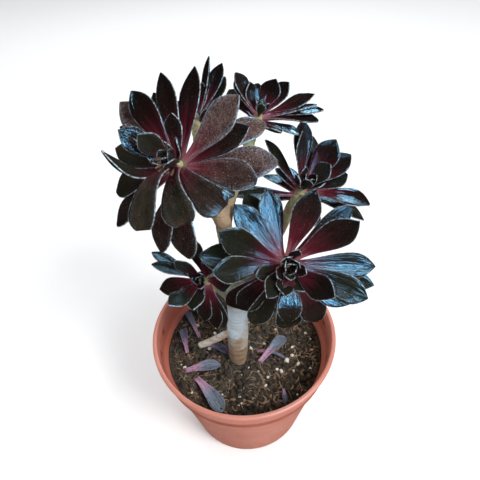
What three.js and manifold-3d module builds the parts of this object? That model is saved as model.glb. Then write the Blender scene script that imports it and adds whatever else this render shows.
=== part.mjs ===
// A dark-leaved tree aeonium in a plastic nursery pot. Millimetres, +Z up, origin under the pot's middle.
import * as THREE from 'three';
import { mergeVertices } from 'three/addons/utils/BufferGeometryUtils.js';
import Module from 'manifold-3d';

const wasm = await Module();
wasm.setup();

// ---- Driving dimensions -------------------------------------------------------------------------------
const GAP = 0.3;
const DEG = Math.PI / 180;
const GOLDEN_ANGLE = 137.5;

const POT = {
  height: 108, rimRadius: 70, baseRadius: 50.5, wall: 1.8, floor: 2, round: 1.4,
  collarHeight: 24, collarRadius: 66.6, shoulderRadius: 63.6, lipHeight: 3.2, lipWidth: 3.2,
  holes: 6, holeRadius: 4, holeRing: 31, holeSides: 16, sides: 48,
};

// The soil's mean level, the mound round the trunk, and low swells that fade out towards the wall.
const SOIL = {
  level: 83.5, mound: 5, moundReach: 22, lump: 1.1, fadeFrom: 61, fadeWidth: 12,
  swells: { along: [0.16, 1.1], across: [0.19, 0.4], slant: [0.31, -0.23], share: 0.6 },
  sides: 36, rings: 7, holeDepth: 26, holeSides: 24,
};

const TRUNK = {
  foot: [-5.5, -13],
  rootRadius: 6.4,
  rootTop: 95,
  sides: 12,
  steps: 10,
  route: [
    { at: [-5.5, -13, 90.5], radius: 6.6 },
    { at: [-5, -13, 104], radius: 7.6 },
    { at: [-4, -13, 130], radius: 7.6 },
    { at: [-3.2, -12.5, 155], radius: 6.9 },
    { at: [-5, -11, 190], radius: 5.4 },
    { at: [-8.5, -8, 226], radius: 4.6 },
  ],
};

// The end of a branch that carries the leaves. Leaves root along it, the outward ones lower down.
const CORE = { below: 9, above: 9, radius: 5.2, sides: 8, neck: 3.9, rootSpread: 5 };

// Stations of a leaf: place along it and width, as shares of the whole, and thickness on the midrib.
const LEAF_STATIONS = [
  { t: 0, width: 0.24, thick: 2.6 },
  { t: 0.4, width: 0.45, thick: 2.2 },
  { t: 0.75, width: 1, thick: 1.7 },
  { t: 0.92, width: 0.8, thick: 1.2 },
  { t: 1, width: 0.09, thick: 0.9 },
];
const BUD_STATIONS = [0, 2, 4].map((i) => LEAF_STATIONS[i]);

// Margin thickness, how far the margins lift above the midrib as a share of the half width, and how much
// broader than a point the tip is on a leaf that arches over, for each unit of its arch.
const LEAF = { edge: 0.8, channel: 0.26, blunting: 1.6 };

// The spiral of young leaves in the middle of a rosette, from its first leaf to its last.
const BUD = { rise: [48, 78], size: [1.35, 0.85], width: 0.5, bow: 0.1 };

// A rosette: the middle of its core, the way it faces, and its leaves as
// [heading, rise, length, width, bow, roll]. Heading turns from +X to +Y, rise is the lift above level,
// bow is how far the midrib sags below (+) or arches above (-) the straight line to the tip, and roll,
// where it isn't zero, turns the blade on edge.
const ROSETTES = {
  rosette_left_top: {
    at: [-26.5, -6, 259], faces: [-0.5, -0.4, 0.77], bud: { count: 8, length: 12, turn: 20 },
    leaves: [
      [100, 42, 50, 13, 0.04], [76, 43, 52, 14, 0.03], [130, 42, 43, 14, 0.05], [122, 27, 50, 14, 0.04],
      [111, 30, 45, 13, 0.02], [136, 28, 46, 15, 0.05], [140, 15, 42, 14, 0.05], [152, 0, 41, 15, 0.05],
      [176, 36, 31, 12, 0.08], [200, 52, 24, 11, 0.1], [93, 62, 25, 12, 0.06], [205, 28, 36, 13, 0.26, 25],
      [170, -24, 42, 15, -0.05], [188, -38, 50, 15, -0.06], [249, -14, 40, 18, -0.22],
      [275, -20, 33, 17, -0.22], [304, -10, 35, 16, -0.2], [345, -26, 28, 12, -0.05],
      [344, 9, 49, 16, -0.06, 10], [331, 6, 42, 15, -0.1], [30, 12, 51, 16, -0.04, 12],
      [352, 34, 42, 13, 0.04, 10],
      [352, 48, 48, 15, 0.03, 25], [222, -62, 49, 16, -0.05], [264, -64, 48, 18, -0.05],
      [54, 14, 45, 14, 0.02],
    ],
  },
  rosette_front: {
    at: [25.5, -22, 202], faces: [0.15, -0.82, 0.55], bud: { count: 9, length: 12, turn: 70 },
    leaves: [
      [146, 42, 44, 15, 0.05], [108, 48, 43, 14, 0.03], [118, 32, 47, 14, 0.02], [46, 56, 45, 16, 0.03],
      [346, 46, 50, 16, 0.05], [24, 27, 50, 13, 0.02], [359, -6, 53, 15, 0.03], [350, -16, 54, 14, 0.08],
      [341, -17, 51, 16, 0.04], [337, -29, 45, 15, 0.02], [306, 4, 35, 14, 0.08], [180, 34, 44, 16, 0.04],
      [179, 11, 49, 17, 0.02], [199, 14, 44, 15, 0.08], [211, 2, 20, 9, 0.12], [205, -36, 38, 15, -0.04],
      [190, -41, 45, 15, -0.06], [216, -53, 43, 15, -0.1], [276, -72, 46, 16, -0.1],
      [266, -32, 32, 14, -0.14], [318, -54, 43, 16, -0.1], [190, -72, 48, 15, -0.06],
      [262, -8, 21, 10, 0.12], [296, -10, 20, 10, 0.12], [240, -2, 26, 11, 0.1],
    ],
  },
  rosette_left_low: {
    at: [-21.5, -14, 183], faces: [-0.35, -0.62, 0.7], bud: { count: 6, length: 8, turn: 140 },
    leaves: [
      [152, 12, 39, 9, 0.04, 60], [172, 18, 33, 9, -0.03, 40], [180, 52, 23, 8, 0.05],
      [172, -22, 34, 12, 0.02],
      [234, 12, 30, 11, 0.1], [228, 6, 18, 8, 0.12], [258, 2, 24, 11, 0.08], [286, -62, 35, 11, 0.04],
      [302, -62, 36, 12, -0.03], [326, 20, 21, 11, 0.05], [350, 72, 17, 9, 0.05], [248, -66, 30, 10, 0.03],
      [110, 30, 28, 10, 0.04], [75, 12, 24, 10, 0.02],
    ],
  },
  rosette_right: {
    at: [40.3, 23.6, 216.2], faces: [0.38, -0.12, 0.9], bud: { count: 7, length: 12, turn: 200 },
    leaves: [
      [86, 60, 42, 14, 0.04], [92, 72, 36, 12, 0.06], [69, 32, 38, 13, 0.03], [34, 42, 36, 16, 0.05],
      [22, 26, 37, 15, 0.04], [8, 42, 22, 13, 0.08], [10, 14, 30, 15, 0.05], [352, -12, 25, 12, 0],
      [140, 44, 39, 13, 0.02], [140, 30, 22, 10, 0.03], [179, 3, 43, 13, -0.03], [336, -1, 42, 17, -0.04],
      [342, -20, 44, 14, -0.05], [350, -22, 41, 13, -0.05], [278, -8, 28, 12, -0.03],
      [152, -28, 28, 12, -0.04], [50, 4, 41, 14, 0.02], [98, 0, 34, 13, -0.02], [68, -16, 38, 13, -0.04],
      [124, -4, 34, 13, -0.03],
    ],
  },
  rosette_back_right: {
    at: [14.5, 38, 259], faces: [0.35, 0.15, 0.92], bud: { count: 6, length: 9, turn: 260 },
    leaves: [
      [143, 57, 27, 12, 0.05, -22], [128, 42, 26, 12, 0.03, -20], [121, 64, 19, 11, 0.14, -15],
      [100, 54, 16, 10, 0.1, -10], [38, 54, 21, 13, 0.12], [14, 42, 24, 14, 0.1, 22],
      [10, 15, 35, 11, 0.04, 12], [354, 13, 34, 11, 0.03, 8], [358, 5, 38, 11, -0.02, 14],
      [346, 1, 35, 11, -0.04, 12], [340, -12, 26, 10, -0.03, 10], [118, 13, 33, 12, 0.03, -28],
      [84, 20, 28, 12, 0.02], [56, 14, 30, 12, 0.02], [104, -4, 30, 12, 0.01], [28, -4, 30, 11, -0.02],
      [310, 0, 20, 10, 0.04],
    ],
  },
  rosette_back_left: {
    at: [-20, 40, 256], faces: [0.05, 0.25, 0.96], bud: { count: 5, length: 9, turn: 310 },
    leaves: [
      [50, 66, 35, 9, 0.04, 5], [52, 45, 36, 10, 0.03, 14], [44, 38, 31, 11, 0.04, 18],
      [57, 63, 21, 10, 0.05, 12], [22, 38, 17, 10, 0.06, 26], [30, 22, 26, 12, 0.03, 24],
      [106, 22, 29, 12, 0.02], [128, 8, 30, 12, 0.02, -16], [82, 6, 32, 13, 0.01],
      [185, 24, 24, 11, 0.04], [150, -4, 30, 12, -0.02], [172, 34, 18, 10, 0.06],
    ],
  },
};

// Side branches: where each leaves the trunk, and the bends on its way to its rosette. Each is thicker at
// the trunk by `flare` and ends a little thinner than the core's neck.
const BRANCH = { sides: 8, steps: 7, flare: 1.15, tip: 0.82, straight: 4 };
const BRANCHES = {
  rosette_left_top: { bends: [[-8.5, -8, 224], [-14, -5, 240]], radius: 4.2 },
  rosette_front: { bends: [[-4, -12, 158], [6, -8, 172], [17, -9, 187]], radius: 3.8 },
  rosette_left_low: { bends: [[-3.5, -12, 150], [-9, -10, 160], [-15, -8, 169]], radius: 3 },
  rosette_right: { bends: [[-4, -12, 166], [8, 1, 178], [26, 16, 189.5]], radius: 3.6 },
  rosette_back_right: { bends: [[-8, -8, 218], [-2, 8, 232], [7, 27, 239]], radius: 3.4 },
  rosette_back_left: { bends: [[-8, -8, 220], [-12, 8, 232], [-19, 26, 236]], radius: 3.4 },
};
const CUT_STUB = { from: [-6, -13, 125], to: [-33, -16, 112], radius: 2.7, sides: 8, steps: 3, taper: 0.9 };

// Fallen leaves: where the blade's foot and tip lie on the soil, its width and its bow.
const FALLEN = {
  fallen_leaf_1: { foot: [-35, 0], tip: [-12, -10], width: 9, bow: -0.1 },
  fallen_leaf_2: { foot: [-47, -21], tip: [-19, -19], width: 10, bow: -0.06 },
  fallen_leaf_3: { foot: [-38, -27], tip: [-18, -54], width: 11, bow: -0.09 },
  fallen_leaf_4: { foot: [11, -19], tip: [34, 3], width: 10, bow: -0.08 },
  fallen_leaf_5: { foot: [-37, 9], tip: [-48, 35], width: 7, bow: -0.05 },
  fallen_leaf_6: { foot: [-46, -5], tip: [-51, 18], width: 8, bow: -0.08 },
  fallen_leaf_7: { foot: [27, -40], tip: [26, -51], width: 5, bow: -0.04 },
  fallen_leaf_8: { foot: [-34, 31], tip: [-21, 20], width: 7, bow: -0.06 },
};

const FINISH = {
  pot: { color: 0xcd7d6e, roughness: 0.45, metalness: 0 },
  soil: { color: 0x3c322a, roughness: 0.95, metalness: 0 },
  stem: { color: 0xb7a084, roughness: 0.8, metalness: 0 },
  leaf: { color: 0x2a1c1d, roughness: 0.35, metalness: 0 },
  fallen: { color: 0x6e7383, roughness: 0.6, metalness: 0 },
};

// ---- Solids -------------------------------------------------------------------------------------------
function vec(point) {
  return new THREE.Vector3(...point);
}

function lathe(outline, sides) {
  return new THREE.LatheGeometry(outline.map((point) => new THREE.Vector2(...point)), sides);
}

/** A closed geometry as a solid, its shared corners merged. */
function toSolid(geometry) {
  geometry.deleteAttribute('normal');
  geometry.deleteAttribute('uv');
  const merged = mergeVertices(geometry, 1e-4);
  const vertProperties = new Float32Array(merged.attributes.position.array);
  const triVerts = new Uint32Array(merged.index.array);
  return new wasm.Manifold(new wasm.Mesh({ numProp: 3, vertProperties, triVerts }));
}

function toGeometry(solid) {
  const mesh = solid.getMesh();
  const geometry = new THREE.BufferGeometry();
  geometry.setAttribute('position', new THREE.BufferAttribute(new Float32Array(mesh.vertProperties), 3));
  geometry.setIndex(new THREE.BufferAttribute(new Uint32Array(mesh.triVerts), 1));
  geometry.computeVertexNormals();
  return geometry;
}

/** Closed surface through equal rings of points, its two ends capped by a fan. */
function loft(rings, seam = (j) => j % 2 === 0) {
  const count = rings[0].length;
  const corners = rings.flat().flatMap((p) => [p.x, p.y, p.z]);
  const faces = [];
  for (let i = 0; i < rings.length - 1; i += 1) {
    for (let j = 0; j < count; j += 1) {
      const a = i * count + j;
      const b = i * count + (j + 1) % count;
      const c = b + count;
      const d = a + count;
      faces.push(...(seam(j) ? [a, b, c, a, c, d] : [a, b, d, b, c, d]));
    }
  }
  const last = (rings.length - 1) * count;
  for (let j = 1; j < count - 1; j += 1) {
    faces.push(0, j + 1, j, last, last + j, last + j + 1);
  }
  const geometry = new THREE.BufferGeometry();
  geometry.setAttribute('position', new THREE.BufferAttribute(new Float32Array(corners), 3));
  geometry.setIndex(faces);
  return geometry;
}

/** Round stem through the given centres, each ring square to the route, the last one facing `endAxis`. */
function taperedStem(centres, radii, sides, steps, endAxis) {
  const route = new THREE.CatmullRomCurve3(centres);
  const rings = [];
  let sideways = new THREE.Vector3(1, 0, 0);
  for (let i = 0; i <= steps; i += 1) {
    const t = i / steps;
    const along = i === steps && endAxis ? endAxis.clone() : route.getTangent(t);
    sideways = sideways.addScaledVector(along, -sideways.dot(along)).normalize();
    const across = new THREE.Vector3().crossVectors(along, sideways);
    const slot = Math.min(t * (radii.length - 1), radii.length - 1 - 1e-6);
    const low = Math.floor(slot);
    const radius = THREE.MathUtils.lerp(radii[low], radii[low + 1], slot - low);
    const middle = route.getPoint(t);
    rings.push(Array.from({ length: sides }, (_, j) => {
      const turn = (j / sides) * 2 * Math.PI;
      return middle.clone()
        .addScaledVector(sideways, radius * Math.cos(turn))
        .addScaledVector(across, radius * Math.sin(turn));
    }));
  }
  return loft(rings);
}

/** Six-cornered sections from root to tip: a channelled blade, widest past its middle, with a point. */
function leafGeometry(root, chord, up, length, width, bow, stations = LEAF_STATIONS) {
  const side = new THREE.Vector3().crossVectors(up, chord).normalize();
  const rings = stations.map(({ t, width: share, thick }) => {
    const slope = -4 * bow * (1 - 2 * t);
    const normal = up.clone().addScaledVector(chord, -slope).normalize();
    const middle = root.clone()
      .addScaledVector(chord, length * t)
      .addScaledVector(up, -4 * bow * length * t * (1 - t));
    const half = 0.5 * width * (share + (t === 1 ? LEAF.blunting * Math.max(-bow, 0) : 0));
    const corner = (across, lift) => (
      middle.clone().addScaledVector(side, across).addScaledVector(normal, lift)
    );
    const rimLift = LEAF.channel * half;
    return [
      corner(-half, rimLift - LEAF.edge / 2), corner(0, -thick / 2), corner(half, rimLift - LEAF.edge / 2),
      corner(half, rimLift + LEAF.edge / 2), corner(0, thick / 2), corner(-half, rimLift + LEAF.edge / 2),
    ];
  });
  return loft(rings, (j) => j === 0 || j === 4 || j === 2);
}

/** The one outer body of a fused solid, without the small hollows that its pieces enclose. */
function wholeBody(solid) {
  return solid.decompose().reduce((best, body) => (body.volume() > best.volume() ? body : best));
}

function direction(heading, rise) {
  const level = Math.cos(rise * DEG);
  const turn = heading * DEG;
  return new THREE.Vector3(level * Math.cos(turn), level * Math.sin(turn), Math.sin(rise * DEG));
}

/** The short leafy end of a branch: a neck, a belly and a rounded growing point. */
function coreGeometry(middle, axis) {
  const outline = [
    [0, -CORE.below], [CORE.neck, -CORE.below], [CORE.radius, -CORE.below / 3],
    [CORE.radius * 0.86, CORE.above / 3], [CORE.radius * 0.4, CORE.above], [0, CORE.above],
  ];
  const geometry = lathe(outline, CORE.sides);
  geometry.applyQuaternion(new THREE.Quaternion().setFromUnitVectors(new THREE.Vector3(0, 1, 0), axis));
  return geometry.translate(middle.x, middle.y, middle.z);
}

/** All leaves of a rosette and its core, fused. Outer leaves root low on the core, inner ones high. */
function rosetteSolid({ at, faces, leaves, bud }) {
  const middle = vec(at);
  const axis = vec(faces).normalize();
  const solids = [toSolid(coreGeometry(middle, axis))];
  const addLeaf = (chord, length, width, bow, roll, stations) => {
    const lean = chord.dot(axis);
    const root = middle.clone().addScaledVector(axis, CORE.rootSpread * lean);
    const up = axis.clone().addScaledVector(chord, -lean).normalize().applyAxisAngle(chord, roll * DEG);
    solids.push(toSolid(leafGeometry(root, chord, up, length, width, bow, stations)));
  };
  for (const [heading, rise, length, width, bow, roll = 0] of leaves) {
    addLeaf(direction(heading, rise), length, width, bow, roll);
  }
  const turnFrame = new THREE.Quaternion().setFromUnitVectors(new THREE.Vector3(0, 0, 1), axis);
  for (let i = 0; i < bud.count; i += 1) {
    const share = i / (bud.count - 1);
    const rise = THREE.MathUtils.lerp(...BUD.rise, share);
    const length = bud.length * THREE.MathUtils.lerp(...BUD.size, share);
    const chord = direction(bud.turn + i * GOLDEN_ANGLE, rise).applyQuaternion(turnFrame);
    addLeaf(chord, length, BUD.width * bud.length, BUD.bow, 0, BUD_STATIONS);
  }
  return wholeBody(wasm.Manifold.union(solids));
}

// ---- Pot and soil -------------------------------------------------------------------------------------
const shoulderHeight = POT.height - POT.collarHeight;

function potOuterRadius(z) {
  return THREE.MathUtils.mapLinear(z, 0, shoulderHeight, POT.baseRadius, POT.shoulderRadius);
}

function potSolid() {
  const lipFoot = POT.height - POT.lipHeight;
  const lipInner = POT.rimRadius - POT.lipWidth;
  const { round, wall } = POT;
  const shell = lathe([
    [0, 0], [POT.baseRadius - round, 0], [POT.baseRadius, round],
    [POT.shoulderRadius, shoulderHeight - 1], [POT.collarRadius, shoulderHeight + 1],
    [POT.rimRadius - round, lipFoot], [POT.rimRadius, lipFoot + round], [POT.rimRadius, POT.height - round],
    [POT.rimRadius - 1, POT.height], [lipInner + 0.7, POT.height], [lipInner, POT.height - 1],
    [POT.collarRadius - wall, shoulderHeight + 1 + wall],
    [POT.shoulderRadius - wall, shoulderHeight - 1 + wall],
    [potOuterRadius(POT.floor) - wall, POT.floor], [0, POT.floor],
  ], POT.sides).rotateX(Math.PI / 2);
  let solid = toSolid(shell);
  for (let i = 0; i < POT.holes; i += 1) {
    const turn = (i / POT.holes) * 2 * Math.PI;
    const drill = new THREE.CylinderGeometry(POT.holeRadius, POT.holeRadius, 4 * POT.floor, POT.holeSides);
    drill.rotateX(Math.PI / 2).translate(POT.holeRing * Math.cos(turn), POT.holeRing * Math.sin(turn), 0);
    solid = solid.subtract(toSolid(drill));
  }
  return solid;
}

/** Height of the soil's lumpy top: a mound round the trunk and low swells that fade at the wall. */
function soilHeight(x, y) {
  const reach = Math.hypot(x - TRUNK.foot[0], y - TRUNK.foot[1]) / SOIL.moundReach;
  const { along, across, slant, share } = SOIL.swells;
  const swell = Math.sin(along[0] * x + along[1]) * Math.cos(across[0] * y + across[1])
    + share * Math.sin(slant[0] * x + slant[1] * y);
  const fade = THREE.MathUtils.clamp((SOIL.fadeFrom - Math.hypot(x, y)) / SOIL.fadeWidth, 0, 1);
  return SOIL.level + SOIL.mound * Math.exp(-reach * reach) + SOIL.lump * swell * fade;
}

function soilSolid() {
  const floor = POT.floor + GAP;
  const wallRadius = (z) => potOuterRadius(z) - POT.wall - GAP;
  const outline = [[0, floor], [wallRadius(floor), floor]];
  for (let i = SOIL.rings; i >= 0; i -= 1) {
    outline.push([(i / SOIL.rings) * wallRadius(SOIL.level), SOIL.level]);
  }
  const filling = lathe(outline, SOIL.sides).rotateX(Math.PI / 2);
  const place = filling.attributes.position;
  for (let i = 0; i < place.count; i += 1) {
    if (place.getZ(i) > SOIL.level - 1) {
      place.setZ(i, soilHeight(place.getX(i), place.getY(i)));
    }
  }
  const holeRadius = TRUNK.rootRadius + GAP;
  const hole = new THREE.CylinderGeometry(holeRadius, holeRadius, 2 * SOIL.holeDepth, SOIL.holeSides);
  hole.rotateX(Math.PI / 2).translate(...TRUNK.foot, SOIL.level);
  return toSolid(filling).subtract(toSolid(hole));
}

// ---- Stem ---------------------------------------------------------------------------------------------
function stemSolid() {
  const rootEnd = SOIL.level - SOIL.holeDepth + GAP;
  const { rootRadius, rootTop, sides } = TRUNK;
  const root = new THREE.CylinderGeometry(rootRadius, rootRadius, rootTop - rootEnd, sides);
  root.rotateX(Math.PI / 2).translate(...TRUNK.foot, (rootTop + rootEnd) / 2);
  const centres = TRUNK.route.map(({ at }) => vec(at));
  const radii = TRUNK.route.map(({ radius }) => radius);
  const solids = [toSolid(root), toSolid(taperedStem(centres, radii, sides, TRUNK.steps))];
  for (const [name, { bends, radius }] of Object.entries(BRANCHES)) {
    const axis = vec(ROSETTES[name].faces).normalize();
    const seat = vec(ROSETTES[name].at).addScaledVector(axis, -CORE.below - GAP);
    const points = [...bends.map(vec), seat.clone().addScaledVector(axis, -BRANCH.straight), seat];
    const ends = [radius * BRANCH.flare, CORE.neck * BRANCH.tip];
    const taper = points.map((_, i) => THREE.MathUtils.lerp(...ends, i / (points.length - 1)));
    solids.push(toSolid(taperedStem(points, taper, BRANCH.sides, BRANCH.steps, axis)));
  }
  const stub = [vec(CUT_STUB.from), vec(CUT_STUB.to)];
  const stubRadii = [CUT_STUB.radius, CUT_STUB.radius * CUT_STUB.taper];
  solids.push(toSolid(taperedStem(stub, stubRadii, CUT_STUB.sides, CUT_STUB.steps)));
  return wholeBody(wasm.Manifold.union(solids));
}

// ---- Fallen leaves ------------------------------------------------------------------------------------
function groundUnder(x, y) {
  const plumb = new THREE.Raycaster(new THREE.Vector3(x, y, POT.height), new THREE.Vector3(0, 0, -1));
  return plumb.intersectObject(aeonium.getObjectByName('soil'))[0].point.z;
}

/** A leaf lying on the soil, dropped until its lowest corner is just clear of the ground. */
function fallenLeafSolid({ foot, tip, width, bow }) {
  const start = new THREE.Vector3(...foot, groundUnder(...foot));
  const end = new THREE.Vector3(...tip, groundUnder(...tip));
  const chord = end.clone().sub(start);
  const length = chord.length();
  chord.normalize();
  const up = new THREE.Vector3(0, 0, 1).addScaledVector(chord, -chord.z).normalize();
  const geometry = leafGeometry(start, chord, up, length, width, bow);
  const place = geometry.attributes.position;
  let lowest = Infinity;
  for (let i = 0; i < place.count; i += 1) {
    lowest = Math.min(lowest, place.getZ(i) - groundUnder(place.getX(i), place.getY(i)));
  }
  return toSolid(geometry.translate(0, 0, GAP - lowest));
}

// ---- Assembly -----------------------------------------------------------------------------------------
const aeonium = new THREE.Group();

function addPiece(name, solid, finish) {
  const mesh = new THREE.Mesh(toGeometry(solid), new THREE.MeshStandardMaterial({ ...finish }));
  mesh.name = name;
  aeonium.add(mesh);
}

addPiece('pot', potSolid(), FINISH.pot);
addPiece('soil', soilSolid(), FINISH.soil);
addPiece('stem', stemSolid(), FINISH.stem);
for (const [name, rosette] of Object.entries(ROSETTES)) {
  addPiece(name, rosetteSolid(rosette), FINISH.leaf);
}
for (const [name, leaf] of Object.entries(FALLEN)) {
  addPiece(name, fallenLeafSolid(leaf), FINISH.fallen);
}

export default aeonium;
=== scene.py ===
"""A dark-leaved tree aeonium in a plastic nursery pot, dressed around its solid model."""

import logging
import math
import random
from collections.abc import Callable
from dataclasses import dataclass, field
from enum import Enum

import bmesh
import bpy
from bmesh.types import BMesh, BMEdge, BMVert
from bpy.types import Material, Mesh, Node, NodeSocket, Object
from mathutils import Matrix, Quaternion, Vector, noise

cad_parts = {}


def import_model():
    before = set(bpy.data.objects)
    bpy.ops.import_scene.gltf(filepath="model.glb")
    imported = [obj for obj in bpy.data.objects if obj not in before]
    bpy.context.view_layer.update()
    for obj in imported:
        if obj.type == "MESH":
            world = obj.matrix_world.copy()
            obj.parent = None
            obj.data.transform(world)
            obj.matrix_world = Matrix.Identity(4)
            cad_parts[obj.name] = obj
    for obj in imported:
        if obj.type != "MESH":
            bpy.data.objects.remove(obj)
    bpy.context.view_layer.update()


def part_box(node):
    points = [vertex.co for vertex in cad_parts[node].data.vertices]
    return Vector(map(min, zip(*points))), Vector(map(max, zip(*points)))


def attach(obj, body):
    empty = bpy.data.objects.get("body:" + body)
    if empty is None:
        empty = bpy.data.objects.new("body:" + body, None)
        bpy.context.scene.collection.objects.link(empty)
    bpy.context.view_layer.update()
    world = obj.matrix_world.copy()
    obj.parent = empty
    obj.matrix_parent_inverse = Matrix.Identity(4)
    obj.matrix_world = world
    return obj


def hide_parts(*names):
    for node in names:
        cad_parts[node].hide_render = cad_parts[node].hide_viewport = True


LOG = logging.getLogger("aeonium")
MM = 0.001
BODY = "root"
GOLDEN_ANGLE = 137.5
FULL_TURN = 2.0 * math.pi
WELD = 1e-6
TANGENT_REACH = 0.01
UP = Vector((0.0, 0.0, 1.0))
RGB = tuple[float, float, float]

# Places on the plant, in millimetres and degrees, as on the solid model.
POT_HEIGHT = 108.0
RIM_RADIUS = 70.0
SOIL_LEVEL = 83.5
TRUNK_FOOT = (-5.5, -13.0)


class Slot(str, Enum):
    """The record's material slots."""

    POT = "pot_plastic"
    SOIL = "potting_soil"
    STEM = "stem_bark"
    LEAF = "leaf_dark"
    FALLEN = "leaf_fallen"


# ---- Mesh helpers -------------------------------------------------------------------------------------
def mm(*values: float) -> Vector:
    """A point given in millimetres, as a vector in metres."""
    return Vector(values) * MM


def heading_vector(heading: float, rise: float) -> Vector:
    """A unit vector turned by heading from +X towards +Y and lifted by rise, both in degrees."""
    turn, lift = math.radians(heading), math.radians(rise)
    return Vector((math.cos(lift) * math.cos(turn), math.cos(lift) * math.sin(turn), math.sin(lift)))


def smoothstep(low: float, high: float, value: float) -> float:
    """A smooth step from 0 at low to 1 at high."""
    share = min(max((value - low) / (high - low), 0.0), 1.0)
    return share * share * (3.0 - 2.0 * share)


def to_mesh(name: str, bm: BMesh) -> Mesh:
    """Turns a bmesh into a mesh and frees it."""
    mesh = bpy.data.meshes.new(name)
    bm.to_mesh(mesh)
    bm.free()
    return mesh


def put(name: str, data: bpy.types.ID) -> Object:
    """Puts a new object with the given data in the scene."""
    made = bpy.data.objects.new(name, data)
    bpy.context.scene.collection.objects.link(made)
    return made


def evaluated(carrier: Object) -> Mesh:
    """The object's mesh with its modifiers carried out."""
    graph = bpy.context.evaluated_depsgraph_get()
    return bpy.data.meshes.new_from_object(carrier.evaluated_get(graph))


def face_outward(bm: BMesh) -> BMesh:
    """Turns all faces outward and hands the mesh on."""
    bmesh.ops.recalc_face_normals(bm, faces=list(bm.faces))
    return bm


def finish_piece(name: str, bm: BMesh, material: Material,
                 stands_for: str | None = None) -> Object:
    """Turns a bmesh into a smooth-shaded piece of the object that rides on its body.

    Args:
        name: The piece's name.
        bm: The mesh, in metres in the object's frame. It is freed.
        material: The material of all faces.
        stands_for: The CAD node that the piece replaces, if any.

    Returns:
        The new object.
    """
    mesh = to_mesh(name, bm)
    mesh.polygons.foreach_set("use_smooth", [True] * len(mesh.polygons))
    mesh.materials.append(material)
    piece = put(name, mesh)
    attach(piece, BODY)
    if stands_for:
        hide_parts(stands_for)
    LOG.info("%s: %d faces", name, len(mesh.polygons))
    return piece


def append_mesh(whole: BMesh, part: BMesh) -> None:
    """Adds a small bmesh to a large one and frees it.

    Args:
        whole: The mesh that grows.
        part: The mesh that is added.
    """
    carrier = to_mesh("carrier", part)
    whole.from_mesh(carrier)
    bpy.data.meshes.remove(carrier)


def spun(outline: list[tuple[float, float]], steps: int, cuts: int, layer: str | None = None,
         divide: Callable[[BMEdge], bool] = lambda edge: True) -> BMesh:
    """A closed solid of revolution.

    Args:
        outline: Its corners as radius and height, in millimetres, from the axis round to the axis.
        steps: Number of steps round the axis.
        cuts: Cuts in each divided side of the outline.
        layer: The name of a number to store on each vertex, if any.
        divide: Says which sides of the outline are divided.

    Returns:
        The solid, its faces not yet turned outward.
    """
    bm = bmesh.new()
    if layer:
        bm.verts.layers.float.new(layer)
    verts = [bm.verts.new(mm(x, 0.0, z)) for x, z in outline]
    edges = [bm.edges.new(pair) for pair in zip(verts, verts[1:])]
    bmesh.ops.subdivide_edges(bm, edges=[e for e in edges if divide(e)], cuts=cuts)
    bmesh.ops.spin(bm, geom=list(bm.verts) + list(bm.edges), angle=FULL_TURN, steps=steps,
                   axis=UP, cent=(0.0, 0.0, 0.0), use_merge=True)
    bmesh.ops.remove_doubles(bm, verts=list(bm.verts), dist=WELD)
    return bm


def catmull_rom(points: list[Vector], share: float) -> Vector:
    """A point on the smooth curve through the given points, at a share from 0 to 1 of its spans."""
    spans = len(points) - 1
    place = min(max(share, 0.0), 1.0) * spans
    i = min(int(place), spans - 1)
    t = place - i
    before = points[i - 1] if i > 0 else points[0] * 2.0 - points[1]
    after = points[i + 2] if i + 2 <= spans else points[-1] * 2.0 - points[-2]
    a, b = points[i], points[i + 1]
    return 0.5 * (
        2.0 * a + (b - before) * t + (2.0 * before - 5.0 * a + 4.0 * b - after) * t * t
        + (3.0 * a - before - 3.0 * b + after) * t * t * t
    )


def tapered_tube(bm: BMesh, points: list[Vector], radii: list[float], sides: int, steps: int) -> None:
    """Adds a closed round tube along a curve, made by extruding a circle step by step.

    Args:
        bm: The mesh that takes the tube.
        points: The curve's points, in metres.
        radii: Radii along the curve, in metres, evenly spread.
        sides: Number of sides.
        steps: Number of steps along the curve.
    """
    ring = list(bmesh.ops.create_circle(bm, cap_ends=False, segments=sides, radius=1.0)["verts"])
    base = [v.co.copy() for v in ring]
    edges = list({e for v in ring for e in v.link_edges})
    across = Vector((1.0, 0.0, 0.0))
    first_edges = list(edges)
    for i in range(steps + 1):
        share = i / steps
        along = catmull_rom(points, share + TANGENT_REACH) - catmull_rom(points, share - TANGENT_REACH)
        if along.length < 1e-9:
            along = points[-1] - points[-2]
        along.normalize()
        across = (across - along * across.dot(along)).normalized()
        other = along.cross(across)
        slot = min(share * (len(radii) - 1), len(radii) - 1.000001)
        low = int(slot)
        radius = radii[low] + (radii[low + 1] - radii[low]) * (slot - low)
        middle = catmull_rom(points, share)
        if i > 0:
            grown = bmesh.ops.extrude_edge_only(bm, edges=edges)["geom"]
            edges = [g for g in grown if isinstance(g, BMEdge) and all(v not in ring for v in g.verts)]
            pairs = {}
            for v in (g for g in grown if isinstance(g, BMVert)):
                near = next(e.other_vert(v) for e in v.link_edges if e.other_vert(v) in ring)
                pairs[near] = v
            ring = [pairs[v] for v in ring]
        for v, flat in zip(ring, base):
            v.co = middle + (across * flat.x + other * flat.y) * radius
    for loop in (first_edges, edges):
        cap = bmesh.ops.edgeloop_fill(bm, edges=loop)["faces"]
        bmesh.ops.poke(bm, faces=cap)


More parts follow.
